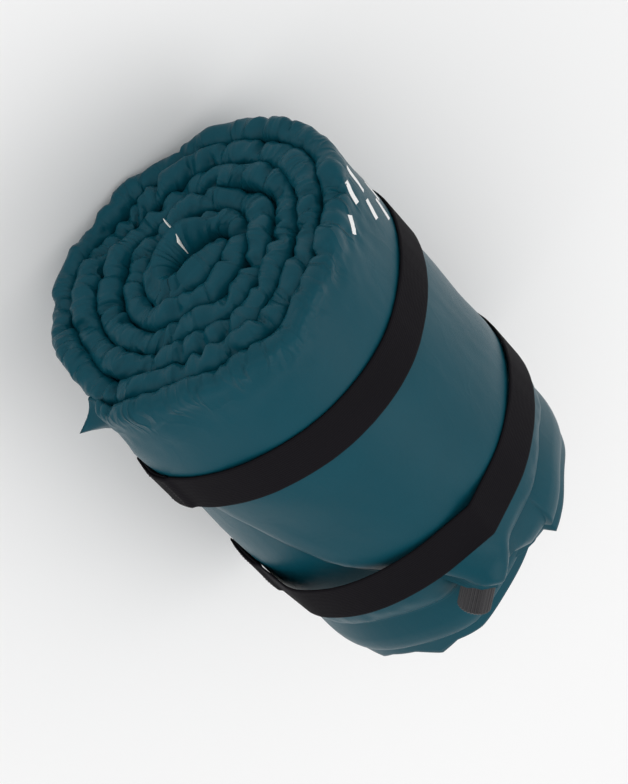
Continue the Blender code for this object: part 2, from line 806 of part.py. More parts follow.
# ---- the whole ------------------------------------------------------------------------------
def stand_on_floor(pieces):
    """Move everything so that the overall box sits on the origin."""
    bpy.context.view_layer.update()
    corners = [piece.matrix_world @ vertex.co for piece in pieces for vertex in piece.data.vertices]
    low = [min(corner[axis] for corner in corners) for axis in range(3)]
    high = [max(corner[axis] for corner in corners) for axis in range(3)]
    shift = Vector((-(low[0] + high[0]) / 2, -(low[1] + high[1]) / 2, -low[2]))
    for piece in pieces:
        piece.matrix_world = Matrix.Translation(shift) @ piece.matrix_world


def main():
    for old in list(bpy.data.objects):
        bpy.data.objects.remove(old)
    paints = {
        "polyester": material("teal polyester", (0.016, 0.078, 0.105), 0.62),
        "foam": material("polyurethane foam", (0.78, 0.72, 0.52), 0.95),
        "elastic": material("black elastic", (0.012, 0.011, 0.013), 0.85),
        "thread": material("black thread", (0.02, 0.02, 0.022), 0.7),
        "valve plastic": material("black nylon", (0.03, 0.03, 0.032), 0.45),
        "cap plastic": material("black cap plastic", (0.02, 0.02, 0.022), 0.4),
        "silicone": material("grey silicone", (0.35, 0.35, 0.36), 0.5),
        "label": material("white satin", (0.82, 0.83, 0.84), 0.6),
    }
    base, foam, top = build_mat(paints)
    bands = []
    for name, middle_x in (("band_near", BAND_NEAR_X), ("band_far", BAND_FAR_X)):
        bands += add_band(name, middle_x, (base, top), paints["elastic"], paints["thread"])
    label = add_label(paints["label"])
    valve = build_valve(paints, (base, foam, top))
    stand_on_floor([base, foam, top, label, *bands, *valve])


main()
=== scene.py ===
"""Rolled self-inflating sleeping mat: pleated teal polyester roll, elastic bands and screw valve.

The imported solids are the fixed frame.  The fabric, the bands, the label and the print are built here
around them, in metres, with +X along the roll from its folded end to its open end and +Z up.
"""

import json
import logging
import math
from dataclasses import dataclass
from enum import Enum

import bpy
import numpy as np
from bpy.types import Material, Node, NodeSocket, NodeTree, Object
from mathutils import Matrix, Vector
from mathutils.bvhtree import BVHTree


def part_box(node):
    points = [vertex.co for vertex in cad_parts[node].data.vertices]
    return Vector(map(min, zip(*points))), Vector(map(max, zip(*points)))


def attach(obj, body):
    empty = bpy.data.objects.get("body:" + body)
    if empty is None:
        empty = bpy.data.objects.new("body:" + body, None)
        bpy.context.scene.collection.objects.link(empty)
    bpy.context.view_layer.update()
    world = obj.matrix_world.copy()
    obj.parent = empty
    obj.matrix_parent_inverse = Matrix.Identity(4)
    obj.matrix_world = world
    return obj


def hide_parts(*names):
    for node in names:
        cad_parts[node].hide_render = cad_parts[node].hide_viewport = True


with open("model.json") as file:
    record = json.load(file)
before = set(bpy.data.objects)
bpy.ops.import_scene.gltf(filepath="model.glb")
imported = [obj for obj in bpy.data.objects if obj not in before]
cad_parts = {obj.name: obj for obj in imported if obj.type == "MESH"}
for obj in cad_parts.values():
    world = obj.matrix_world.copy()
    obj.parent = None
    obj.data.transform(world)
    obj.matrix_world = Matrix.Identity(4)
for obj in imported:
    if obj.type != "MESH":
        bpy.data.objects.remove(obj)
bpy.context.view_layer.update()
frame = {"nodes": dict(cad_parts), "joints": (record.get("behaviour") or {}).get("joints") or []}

Array = np.ndarray
LOG = logging.getLogger("sleeping_mat")
MM = 0.001
UV_NAME = "cloth"


# ---- small helpers ----
def linear(hex_colour: str) -> tuple[float, float, float, float]:
    """Turn an sRGB hex colour into the linear colour that shaders use.

    Args:
        hex_colour: Six hex digits with a leading hash.

    Returns:
        Linear red, green, blue and an alpha of one.
    """
    channels = [int(hex_colour[n : n + 2], 16) / 255 for n in (1, 3, 5)]
    red, green, blue = [c / 12.92 if c <= 0.04045 else ((c + 0.055) / 1.055) ** 2.4 for c in channels]
    return red, green, blue, 1.0


def add_node(tree: NodeTree, kind: str, settings: dict | None = None, **links) -> Node:
    """Add a shader node with its settings and the values or links of its inputs.

    Args:
        tree: The material's node tree.
        kind: The node's type name.
        settings: Properties of the node itself.
        links: A value or another node's output for each input, by the input's name with
            underscores for spaces, or by its number after an underscore.

    Returns:
        The new node.
    """
    node = tree.nodes.new(kind)
    for name, value in (settings or {}).items():
        setattr(node, name, value)
    for name, value in links.items():
        key = int(name[1:]) if name[0] == "_" and name[1:].isdigit() else name.replace("_", " ")
        socket = node.inputs[key]
        if isinstance(value, NodeSocket):
            tree.links.new(value, socket)
        else:
            socket.default_value = value
    return node


def calculate(tree: NodeTree, operation: str, *values) -> NodeSocket:
    """Add a math node.

    Args:
        tree: The material's node tree.
        operation: What the node does.
        values: Numbers or other nodes' outputs, in the order of the node's inputs.

    Returns:
        The node's output.
    """
    inputs = {f"_{number}": value for number, value in enumerate(values)}
    return add_node(tree, "ShaderNodeMath", {"operation": operation}, **inputs).outputs[0]


def new_material(name: str) -> tuple[Material, NodeTree, Node]:
    """A fresh material, with its node tree and its Principled BSDF."""
    made = bpy.data.materials.new(name)
    made.use_nodes = True
    return made, made.node_tree, made.node_tree.nodes["Principled BSDF"]


def noise(tree: NodeTree, size_mm: float, detail: float) -> NodeSocket:
    """Noise over the object's own coordinates, with patches of a given size."""
    place = add_node(tree, "ShaderNodeTexCoord").outputs["Object"]
    scale = 1 / (size_mm * MM)
    return add_node(tree, "ShaderNodeTexNoise", Vector=place, Scale=scale, Detail=detail).outputs["Fac"]


def mix_colours(tree: NodeTree, share: NodeSocket, low: tuple, high: tuple) -> NodeSocket:
    """Blend two linear colours by a share of 0 to 1."""
    colour_sockets = {"_6": low, "_7": high}
    return add_node(tree, "ShaderNodeMix", {"data_type": "RGBA"}, _0=share, **colour_sockets).outputs[2]


def spread_roughness(
    tree: NodeTree, shader: Node, share: NodeSocket, middle: float, spread: float
) -> None:
    """Let a noise vary the roughness on both sides of its middle value."""
    low, high = middle - spread, middle + spread
    rough = add_node(tree, "ShaderNodeMapRange", Value=share, To_Min=low, To_Max=high)
    tree.links.new(rough.outputs[0], shader.inputs["Roughness"])


def ease(values: Array) -> Array:
    """Smooth step from 0 to 1 of values clipped to that range."""
    t = np.clip(values, 0.0, 1.0)
    return t * t * (3 - 2 * t)


def ripples(points: Array, wavelength: float, seed: int, waves: int = 14) -> Array:
    """Smooth seeded unevenness, a sum of waves in random directions.

    Args:
        points: Places, as an array whose last axis holds their coordinates.
        wavelength: Middle wavelength in metres.
        seed: Seed of the directions and phases.
        waves: How many waves are summed.

    Returns:
        Values of about -1 to 1, one for each place.
    """
    chance = np.random.default_rng(seed)
    total = np.zeros(points.shape[:-1])
    for _ in range(waves):
        direction = chance.normal(size=points.shape[-1])
        direction /= np.linalg.norm(direction)
        number = 2 * math.pi / (wavelength * chance.uniform(0.6, 1.7))
        total += np.sin((points @ direction) * number + chance.uniform(0, 2 * math.pi))
    return total / math.sqrt(waves)


def mesh_object(name: str, points: Array, faces: list, finish: Material) -> Object:
    """A smooth-shaded object from points and faces.

    Args:
        name: The object's name.
        points: One row of coordinates for each vertex.
        faces: Vertex indices of each face.
        finish: The material it wears.

    Returns:
        The object, linked to the scene.
    """
    mesh = bpy.data.meshes.new(name)
    mesh.from_pydata(points.reshape(-1, 3).tolist(), [], faces)
    mesh.validate()
    mesh.materials.append(finish)
    mesh.shade_smooth()
    made = bpy.data.objects.new(name, mesh)
    bpy.context.scene.collection.objects.link(made)
    return made


def grid_faces(rows: int, columns: int, first: int = 0, flip: bool = False) -> list[tuple[int, ...]]:
    """Quads of a grid of vertices stored row by row.

    Args:
        rows: Number of rows of vertices.
        columns: Number of vertices in a row.
        first: Index of the grid's first vertex.
        flip: Whether the quads face the other way.

    Returns:
        The quads.
    """
    made = []
    for i in range(rows - 1):
        for j in range(columns - 1):
            a = first + i * columns + j
            quad = (a, a + 1, a + columns + 1, a + columns)
            made.append(quad[::-1] if flip else quad)
    return made


def slab_faces(rows: int, columns: int, flip: bool = False) -> list[tuple[int, ...]]:
    """Faces of a thin closed slab: an upper grid, then a lower grid, joined round the rim.

    Args:
        rows: Number of rows in each grid.
        columns: Number of vertices in a row.
        flip: Whether all faces face the other way.

    Returns:
        The faces.
    """
    size = rows * columns
    made = grid_faces(rows, columns) + grid_faces(rows, columns, size, flip=True)
    rim = list(range(columns))
    rim += [i * columns + columns - 1 for i in range(1, rows)]
    rim += [(rows - 1) * columns + j for j in range(columns - 2, -1, -1)]
    rim += [i * columns for i in range(rows - 2, 0, -1)]
    for a, b in zip(rim, rim[1:] + rim[:1]):
        made.append((b, a, a + size, b + size))
    return [face[::-1] for face in made] if flip else made


def write_uv(made: Object, uv: Array) -> None:
    """Lay a vertex-by-vertex map in metres of cloth on an object.

    Args:
        made: The object.
        uv: Two coordinates for each vertex.
    """
    layer = made.data.uv_layers.new(name=UV_NAME)
    corners = np.zeros(len(made.data.loops), dtype=np.int64)
    made.data.loops.foreach_get("vertex_index", corners)
    layer.data.foreach_set("uv", uv.reshape(-1, 2)[corners].astype(np.float32).ravel())


# ---- finishes ----
class Weave(Enum):
    """How a cloth is made, which sets what its surface shows."""

    PLAIN = "plain weave"
    RIBBED = "ribbed elastic"


@dataclass(frozen=True)
class Cloth:
    """A woven cloth.

    The threads are finer than a render shows, so the weave is drawn at the given spacing, coarse
    enough to break up the highlights as the real cloth does.
    """

    name: str
    colour: str
    shade: str
    weave: Weave
    spacing_mm: float
    roughness: float
    relief_mm: float
    sheen: float = 0.0
    specular: float = 0.35
    patch_mm: float = 45.0
    crease_mm: float = 0.0
    sheen_roughness: float = 0.45
    roughness_spread: float = 0.06
    fibre_mm: float = 1 / 0.9
    fibre_share: float = 0.35
    fibre_height: float = 0.8
    rib_stretch: float = 0.6
    rib_height: float = 0.3
    gather_mm: tuple[float, float] = (17.0, 38.0)
    gather_width: float = 0.09
    gather_fade_mm: tuple[float, float] = (9.0, 27.0)
    gather_rest: float = 0.04

    def build(self) -> Material:
        """Make the material.

        Returns:
            The material, mottled in colour and roughness, with its weave and creases as relief.
        """
        made, tree, shader = new_material(self.name)
        shader.inputs["Sheen Weight"].default_value = self.sheen
        shader.inputs["Sheen Roughness"].default_value = self.sheen_roughness
        shader.inputs["Specular IOR Level"].default_value = self.specular
        patches = noise(tree, self.patch_mm, 3.0)
        fibres = noise(tree, self.fibre_mm, 2.0)
        speckle = calculate(tree, "MULTIPLY", fibres, self.fibre_share)
        share = calculate(tree, "MULTIPLY_ADD", patches, 1 - self.fibre_share, speckle)
        colour = mix_colours(tree, share, linear(self.shade), linear(self.colour))
        tree.links.new(colour, shader.inputs["Base Color"])
        spread_roughness(tree, shader, fibres, self.roughness, self.roughness_spread)
        cloth = add_node(tree, "ShaderNodeUVMap", {"uv_map": UV_NAME})
        split = add_node(tree, "ShaderNodeSeparateXYZ", Vector=cloth.outputs["UV"])
        height = calculate(tree, "MULTIPLY_ADD", fibres, self.fibre_height, self.threads(tree, split))
        relief = self.relief_mm * MM
        bump = add_node(tree, "ShaderNodeBump", Height=height, Strength=0.6, Distance=relief)
        tree.links.new(bump.outputs[0], shader.inputs["Normal"])
        if self.crease_mm:
            tree.links.new(self.creases(tree, split), bump.inputs["Normal"])
        return made

    def threads(self, tree: NodeTree, split: Node) -> NodeSocket:
        """Height of the woven threads.

        Args:
            tree: The material's node tree.
            split: Node that gives the distances along and across the cloth.

        Returns:
            The height, of about -1 to 1.
        """
        turn = 2 * math.pi / (self.spacing_mm * MM)
        plain = self.weave is Weave.PLAIN
        lengthwise, crosswise = [
            calculate(tree, "SINE", calculate(tree, "MULTIPLY", split.outputs[axis], turn * rate))
            for axis, rate in enumerate((1.0 if plain else self.rib_stretch, 1.0))
        ]
        if plain:
            return calculate(tree, "MULTIPLY", lengthwise, crosswise)
        return calculate(tree, "MULTIPLY_ADD", lengthwise, self.rib_height, crosswise)

    def creases(self, tree: NodeTree, split: Node) -> NodeSocket:
        """Sharp gathers across the fold, which fade out with distance from it.

        Args:
            tree: The material's node tree.
            split: Node that gives the distance along the mat and the distance from the fold.

        Returns:
            The creased normal.
        """
        along, across = [
            calculate(tree, "MULTIPLY", split.outputs[axis], 1 / (size * MM))
            for axis, size in enumerate(self.gather_mm)
        ]
        place = add_node(tree, "ShaderNodeCombineXYZ", X=along, Y=across).outputs[0]
        waves = add_node(tree, "ShaderNodeTexNoise", Vector=place, Scale=1.0, Detail=2.0, Distortion=0.6)
        off_middle = calculate(tree, "SUBTRACT", waves.outputs["Fac"], 0.5)
        fold = calculate(tree, "ABSOLUTE", off_middle)
        valley = add_node(tree, "ShaderNodeMapRange", Value=fold, From_Max=self.gather_width).outputs[0]
        near = add_node(
            tree,
            "ShaderNodeMapRange",
            {"interpolation_type": "SMOOTHSTEP"},
            Value=calculate(tree, "ABSOLUTE", split.outputs[1]),
            From_Min=self.gather_fade_mm[0] * MM,
            From_Max=self.gather_fade_mm[1] * MM,
            To_Min=1.0,
            To_Max=self.gather_rest,
        ).outputs[0]
        height = calculate(tree, "MULTIPLY", valley, near)
        depth = self.crease_mm * MM
        return add_node(tree, "ShaderNodeBump", Height=height, Strength=0.8, Distance=depth).outputs[0]


@dataclass(frozen=True)
class Moulding:
    """A moulded, spun or printed surface of one colour with a fine grain."""

    name: str
    colour: str
    roughness: float
    ior: float
    grain_mm: float
    relief_mm: float
    contrast: float = 0.25
    roughness_spread: float = 0.08

    def build(self) -> Material:
        """Make the material.

        Returns:
            The material, with its grain in colour, roughness and relief.
        """
        made, tree, shader = new_material(self.name)
        shader.inputs["IOR"].default_value = self.ior
        grain = noise(tree, self.grain_mm, 4.0)
        base = linear(self.colour)[:3]
        dark = tuple((1 - self.contrast) * channel for channel in base) + (1.0,)
        light = tuple(min(1.0, (1 + self.contrast) * channel) for channel in base) + (1.0,)
        tree.links.new(mix_colours(tree, grain, dark, light), shader.inputs["Base Color"])
        spread_roughness(tree, shader, grain, self.roughness, self.roughness_spread)
        relief = self.relief_mm * MM
        bump = add_node(tree, "ShaderNodeBump", Height=grain, Strength=0.5, Distance=relief)
        tree.links.new(bump.outputs[0], shader.inputs["Normal"])
        return made


# Coated polyester, plain woven from fine yarn: deep teal with a dull gloss, gathered at the fold.
SHELL_CLOTH = Cloth(
    name="coated_polyester_plain_weave",
    colour="#094957",
    shade="#073d49",
    weave=Weave.PLAIN,
    spacing_mm=0.9,
    roughness=0.34,
    relief_mm=0.035,
    specular=0.12,
    patch_mm=60.0,
    crease_mm=1.3,
)
# Knitted polyester elastic: near black and matt, with lengthwise ribs.
BAND_CLOTH = Cloth(
    name="ribbed_elastic_knit",
    colour="#171519",
    shade="#111013",
    weave=Weave.RIBBED,
    spacing_mm=1.6,
    roughness=0.7,
    relief_mm=0.1,
    specular=0.04,
)
# Woven satin label, white, with the weave just felt.
LABEL_CLOTH = Cloth(
    name="woven_satin_label",
    colour="#f2f2ee",
    shade="#e4e4de",
    weave=Weave.PLAIN,
    spacing_mm=0.5,
    roughness=0.45,
    relief_mm=0.02,
    sheen=0.1,
)
# Spun polyester sewing thread, black with a slight gloss.
THREAD = Moulding(
    "spun_polyester_thread", "#1c1a1b", roughness=0.5, ior=1.5, grain_mm=0.4, relief_mm=0.05
)
# Screen-printed ink, an even matt white skin on the cloth.
INK = Moulding(
    "screen_printed_ink", "#e9eceb", roughness=0.6, ior=1.45, grain_mm=0.9, relief_mm=0.02
)
# Injection moulded ABS: dark grey, satin from a fine spark-eroded grain.
CAP_PLASTIC = Moulding(
    "moulded_abs_satin", "#1e1c20", roughness=0.45, ior=1.54, grain_mm=0.5, relief_mm=0.03
)
NECK_PLASTIC = Moulding(
    "moulded_abs_dark", "#232224", roughness=0.5, ior=1.54, grain_mm=0.6, relief_mm=0.03
)
# Moulded silicone seal: dull and slightly soft.
SEAL_RUBBER = Moulding(
    "moulded_silicone_seal", "#1a1a1a", roughness=0.7, ior=1.41, grain_mm=0.6, relief_mm=0.02
)


def valve_axes() -> tuple[Array, Array, Array]:
    """Where the valve stands.

    Returns:
        Its root, the direction it points in, and the direction across it along the fabric.
    """
    joint = next(j for j in frame["joints"] if j["name"] == "cap_turn")
    along = np.array(joint["axis"])
    side = np.cross(np.array([0.0, 0.0, 1.0]), along)
    return np.array(joint["pos_m"]), along, side / np.linalg.norm(side)


# ---- the roll ----
@dataclass(frozen=True)
class Roll:
    """The path that the folded mat winds along, in the same sizes as the solids."""

    mat_length: float = 1.930
    half_stack: float = 7.3 * MM
    slot: float = 1.0 * MM
    pitch: float = 15.6 * MM
    core_gap: float = 1.0 * MM
    ovality: float = 9.2 * MM
    end_angle: float = math.pi
    slanted: float = math.radians(120)
    outer_edge: float = 261.83 * MM
    inner_edge: float = 295.83 * MM
    outer_slant: float = 86 * MM
    outer_cut: float = 74 * MM
    inner_slant: float = 121 * MM
    inner_cut: float = 70 * MM
    fold_setback: float = 30 * MM
    tuck_reach: float = 60 * MM
    past_cut: float = 1.2
    flange: float = 8 * MM
    centre_y: float = 4.49 * MM
    centre_z: float = 90.54 * MM

    @property
    def fold_x(self) -> float:
        """Place of the folded edge along X."""
        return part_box("base_fabric")[0].x

    @property
    def start_radius(self) -> float:
        """Height of the first winding's middle above the roll's centre."""
        return self.half_stack + self.core_gap / 2

    @property
    def start_angle(self) -> float:
        """Angle at which the mat begins, in the core."""
        growth = self.pitch / (4 * math.pi)
        first = self.start_radius + self.ovality / 2
        wound = (math.sqrt(first * first + 4 * growth * self.mat_length) - first) / (2 * growth)
        return self.end_angle - wound

    @property
    def last_full(self) -> float:
        """Angle from which the mat is drawn out into its slanted end."""
        return self.end_angle - self.slanted

    @property
    def end_radius(self) -> float:
        """Mean radius of the last winding."""
        return float(self.radius(np.array(self.end_angle))) + self.ovality / 2

    def radius(self, angle: Array) -> Array:
        """Height of the winding's middle at an angle."""
        return self.start_radius + self.pitch * (angle - self.start_angle) / (2 * math.pi)

    def ends_at(self, x: Array, outer: Array) -> Array:
        """Angle at which the mat's padded part ends.

        Args:
            x: Distances from the folded edge.
            outer: Which of them are on the outer half.

        Returns:
            Angles, in the shape of x.
        """
        slant = np.where(outer, self.outer_slant, self.inner_slant)
        cut = np.where(outer, self.outer_cut, self.inner_cut)
        edge = np.where(outer, self.outer_edge, self.inner_edge)
        cut_start = edge - cut
        on_slant = slant * np.clip((x - self.half_stack) / (cut_start - self.half_stack), 0, 1)
        on_cut = cut * np.clip((x - cut_start) / cut, 0, self.past_cut)
        tucked = self.fold_setback * (1 - ease((x - self.half_stack) / self.tuck_reach))
        return self.end_angle - (on_slant + on_cut + tucked) / self.end_radius

    def place(self, x: Array, angle: Array, height: Array) -> Array:
        """World place of points given in the roll's own coordinates.

        Args:
            x: Distances from the folded edge.
            angle: Angles round the roll.
            height: Heights over the winding's middle.

        Returns:
            Coordinates along a new last axis.
        """
        rho = self.radius(angle) + height
        y = (rho + self.ovality) * np.cos(angle) + self.centre_y
        z = rho * np.sin(angle) + self.centre_z
        return np.stack([x + self.fold_x + np.zeros_like(y), y, z], axis=-1)


@dataclass(frozen=True)
class Ripple:
    """One seeded unevenness of a surface."""

    height: float
    wavelength: float
    seed: int

    def over(self, places: Array) -> Array:
        """Heights at places, whose last axis holds their coordinates."""
        return self.height * ripples(places, self.wavelength, self.seed)


@dataclass(frozen=True)
class Pleats:
    """Gathers in the fold's skin: seeded valleys across the fold, with ridges beside them."""

    seed: int = 7
    first: float = 6 * MM
    depth: float = 5.8 * MM
    reach: float = 21 * MM
    least_depth: float = 0.3
    least_reach: float = 0.35
    width_mm: tuple[float, float] = (1.9, 3.6)
    slope: tuple[float, float] = (-0.55, 0.55)
    centre_mm: tuple[float, float] = (-8, 6)
    run_mm: tuple[int, ...] = (8, 14, 23, 40)
    run_chances: tuple[float, ...] = (0.29, 0.3, 0.24, 0.17)
    run_spread: tuple[float, float] = (0.8, 1.2)
    window: float = 24 * MM
    wiggle: float = 1.2 * MM
    wiggle_length: float = 5 * MM
    wiggle_phase: float = 900
    bulge: float = 1.1 * MM
    full_bulge_run: float = 20 * MM
    bulge_reach: float = 12 * MM
    last_turn: float = 560 * MM
    last_turn_depth: float = 0.6
    last_turn_bulge: float = 0.5

    def depths(self, s: Array, u: Array) -> Array:
        """How far the fold's skin is drawn in by the pleats, and pushed out between them.

        Args:
            s: Distance along the mat of each point.
            u: Distance of each point from the fold's tip.

        Returns:
            Depth in metres, positive inwards.
        """
        chance = np.random.default_rng(self.seed)
        depth = np.zeros_like(s)
        at = self.first
        end = float(s.max())
        while at < end:
            width = chance.uniform(*self.width_mm) * MM
            slope = chance.uniform(*self.slope)
            deep = chance.uniform(self.least_depth, 1.0) * self.depth
            centre = chance.uniform(*self.centre_mm) * MM
            reach = chance.uniform(self.least_reach, 1.0) * self.reach
            near = np.abs(s - at) < self.window
            bend = self.wiggle * np.sin(u[near] / self.wiggle_length + at * self.wiggle_phase)
            t = (s[near] - at - slope * u[near] - bend) / width
            window = 1 - ease(np.abs(u[near] - centre) / reach)
            valley = np.exp(-1.4 * np.abs(t) ** 1.15)
            ridge = np.exp(-((np.abs(t) - 1.9) ** 2) / 0.8)
            outermost = at > end - self.last_turn
            deep *= self.last_turn_depth if outermost else 1.0
            depth[near] += deep * window * (valley - 0.2 * ridge)
            run = chance.choice(self.run_mm, p=self.run_chances) * chance.uniform(*self.run_spread) * MM
            between = (s - at > 0) & (s - at < run)
            middle = (s[between] - at) / run
            bulge = min(1.0, float(run / self.full_bulge_run)) * self.bulge
            bulge *= self.last_turn_bulge if outermost else 1.0
            fade = np.exp(-((u[between] / self.bulge_reach) ** 2))
            depth[between] -= bulge * np.sin(math.pi * middle) * fade
            at += run
        return depth


@dataclass
class Layout:
    """What is known of every point of the mat before it is given its thickness.

    All are arrays of one row for each station along the mat and one column for each point across:
    x and rounded are distances from the folded edge, u is the distance from the fold's tip along
    the skin and s the distance along the mat, to_end, to_inner_end and inside are distances to the
    slanted end and to the nearest welded edge, and beyond and flap are lengths of the margin.
    """

    x: Array
    rounded: Array
    u: Array
    outer: Array
    slanted: Array
    angle: Array
    s: Array
    beyond: Array
    flap: Array
    to_end: Array
    to_inner_end: Array
    inside: Array
    full: Array
    hood: Array

    @property
    def free(self) -> Array:
        """Share of a point's freedom from the valve under it."""
        return 1 - np.clip(self.hood * 3, 0, 1)

    @property
    def places(self) -> Array:
        """Places on the spread-out skin, along the mat and from the fold's tip."""
        return np.stack([self.s, self.u], axis=-1)


@dataclass
class MatCover:
    """The padded mat as one closed form: both skins, the pleated fold, the welded margin."""

    roll: Roll
    finish: Material
    pleats: Pleats = Pleats()
    station_step: float = 1.9 * MM
    flange_thickness: float = 0.9 * MM
    weld_depth: float = 0.25 * MM
    edge_taper: float = 13 * MM
    flap_length: float = 9 * MM
    flap_place: float = 24 * MM
    flap_half_width: float = 21 * MM
    flap_lift: float = 6 * MM
    fold_squareness: float = 0.84
    fold_fullness: float = 1.12
    fold_front: float = 30 * MM
    core_fill: float = 0.8
    core_room: float = 16 * MM
    core_turn: tuple[float, float] = (math.radians(300), math.radians(60))
    end_press: float = 4.4 * MM
    end_press_reach: float = 55 * MM
    end_sag: float = 4.5 * MM
    end_sag_reach: float = 24 * MM
    margin_droop: float = 3.0 * MM
    open_puff: float = 4.6 * MM
    end_pull: float = 15 * MM
    pull_angle: float = math.radians(38)
    pull_ramp: tuple[float, float] = (150 * MM, 120 * MM)
    end_reach: float = 10 * MM
    reach_angle: float = math.radians(140)
    reach_ramp: tuple[float, float] = (215 * MM, 75 * MM)
    # Corners that stick out: degrees round the roll, millimetres out and degrees to each side.
    corners: tuple[tuple[float, float, float], ...] = ((-232, 8, 10), (-203, 4, 7))
    hood_rise: float = 14.6 * MM
    hood_width: float = 14 * MM
    hood_flare: float = 0.10
    hood_run: float = 37 * MM
    hood_below: float = 12 * MM
    hood_tuck: float = 0.55
    # Waves round the roll: how many, their share of the radius, phase and twist for each metre of radius.
    lobes: tuple[tuple[float, ...], ...] = (
        (3, 0.016, 0.6, 12),
        (4, 0.011, 2.1, -9),
        (5, 0.012, 4.0, 16),
        (7, 0.009, 1.3, -20),
    )
    lobe_rest: float = 0.35
    lobe_fold: float = 45 * MM
    lobe_core: float = 15 * MM
    fold_puff: float = 0.5 * MM
    fold_ripple: Ripple = Ripple(0.6 * MM, 34 * MM, 3)
    crease_ripple: Ripple = Ripple(2.2, 17 * MM, 4)
    crease_height: tuple[float, float] = (0.42 * MM, 0.06 * MM)
    wide_ripple: Ripple = Ripple(0.5 * MM, 80 * MM, 5)
    edge_ripple: Ripple = Ripple(0.55 * MM, 16 * MM, 6)
    hood_ripple: Ripple = Ripple(0.5 * MM, 12 * MM, 11)
    wander: tuple[Ripple, Ripple] = (Ripple(2.2 * MM, 70 * MM, 8), Ripple(0.9 * MM, 26 * MM, 9))
    wander_reach: float = 35 * MM
    open_wander: Ripple = Ripple(1.2 * MM, 60 * MM, 10)
    open_ramp: tuple[float, float] = (180 * MM, 70 * MM)
    made: Object | None = None
    shown: Array | None = None

    def leg(self, edge: float) -> Array:
        """Distances from the folded edge along one half, close together where the skin bends."""
        half_stack = self.roll.half_stack
        fine = half_stack + np.array([0.0, 2.0, 4, 6.5, 9.5, 13, 17, 21.5, 27, 33, 41]) * MM
        middle = np.arange(fine[-1] + 11 * MM, edge - 24 * MM, 12 * MM)
        taper = edge - np.array([18, 13.5, 10.5, 8, 5.8, 4, 2.5, 1.3, 0.5, 0.0]) * MM
        margin = edge + np.array([1.4, 3.0, 4.6, 6.3, 8.0]) * MM
        return np.concatenate([fine, middle, taper, margin])

    def section(self) -> dict[str, Array]:
        """Points across the mat, from the outer half's welded edge round the fold to the inner's.

        Returns:
            Arrays: x and height on the slot side, the outward direction, the distance u from the
            fold's tip, the half and the distance to the padded edge.
        """
        roll = self.roll
        outer_leg, inner_leg = self.leg(roll.outer_edge)[::-1], self.leg(roll.inner_edge)
        ones, minus_ones = np.ones(len(outer_leg)), -np.ones(len(inner_leg))
        turns = math.pi / 2 + math.pi * np.arange(1, 14) / 14
        half_slot = roll.slot / 2
        x = np.concatenate([outer_leg, roll.half_stack + half_slot * np.cos(turns), inner_leg])
        height = np.concatenate([half_slot * ones, half_slot * np.sin(turns), half_slot * minus_ones])
        square = self.fold_squareness
        tip_x = -np.abs(np.cos(turns)) ** square
        tip_h = np.sign(np.sin(turns)) * np.abs(np.sin(turns)) ** square
        out_x = np.concatenate([np.zeros(len(outer_leg)), tip_x, np.zeros(len(inner_leg))])
        out_h = np.concatenate([ones, tip_h, minus_ones])
        quarter = math.pi / 2 * roll.half_stack
        outer_u = quarter + outer_leg - roll.half_stack
        inner_u = -(quarter + inner_leg - roll.half_stack)
        u = np.concatenate([outer_u, (math.pi - turns) * roll.half_stack, inner_u])
        outer = np.concatenate([ones > 0, turns <= math.pi, minus_ones > 0])
        inside = np.where(outer, roll.outer_edge, roll.inner_edge) - x
        return dict(x=x, height=height, out_x=out_x, out_h=out_h, u=u, outer=outer, inside=inside)

    def stations(self) -> tuple[Array, Array, Array]:
        """Places along the mat.

        Returns:
            Plain angles, shares of the slanted end, and distances past the padded end.
        """
        roll = self.roll
        first, last = roll.start_angle, roll.last_full
        plain = [first]
        while plain[-1] < last:
            mean = float(roll.radius(np.array(plain[-1])) + roll.ovality / 2)
            plain.append(plain[-1] + self.station_step / mean)
        plain = np.array(plain)
        plain = first + (plain - first) * (last - first) / (plain[-1] - first)
        even, closing = np.linspace(0, 0.86, 52)[1:], np.linspace(0, 1, 18)[1:]
        drawn = np.concatenate([even, 1 - 0.14 * (1 - closing) ** 1.4])
        past = np.linspace(0, 1, 8)[1:] * roll.flange
        angles = np.concatenate([plain, np.full(len(drawn) + len(past), last)])
        shares = np.concatenate([np.zeros(len(plain)), drawn, np.ones(len(past))])
        return angles, shares, np.concatenate([np.zeros(len(plain) + len(drawn)), past])

    def warp(self, points: Array) -> Array:
        """Unevenness of the whole roll, which carries neighbouring windings along together.

        Args:
            points: World places.

        Returns:
            The moved places.
        """
        roll = self.roll
        moved = points.copy()
        y = points[..., 1] - roll.centre_y
        z = points[..., 2] - roll.centre_z
        x = points[..., 0] - roll.fold_x
        reach = np.hypot(y, z)
        around = np.arctan2(z, y)
        near_fold = self.lobe_rest + (1 - self.lobe_rest) * np.exp(-((x / self.lobe_fold) ** 2))
        share = np.zeros_like(reach)
        for order, size, phase, twist in self.lobes:
            share += size * np.cos(order * around + phase + twist * reach)
        inward = share * near_fold * np.clip(reach / self.lobe_core, 0, 1)
        toward = np.clip(np.cos((around - self.pull_angle) * 1.3), 0, 1)
        beyond = np.clip(np.cos(around - self.reach_angle), 0, 1)
        ramps = (self.pull_ramp, self.reach_ramp)
        pulled, reached = [ease((x - start) / length) for start, length in ramps]
        moved[..., 0] -= self.end_pull * pulled * toward * (np.abs(around) < 2)
        moved[..., 0] += self.end_reach * reached * beyond
        moved[..., 1] += y * inward
        moved[..., 2] += z * inward
        return moved

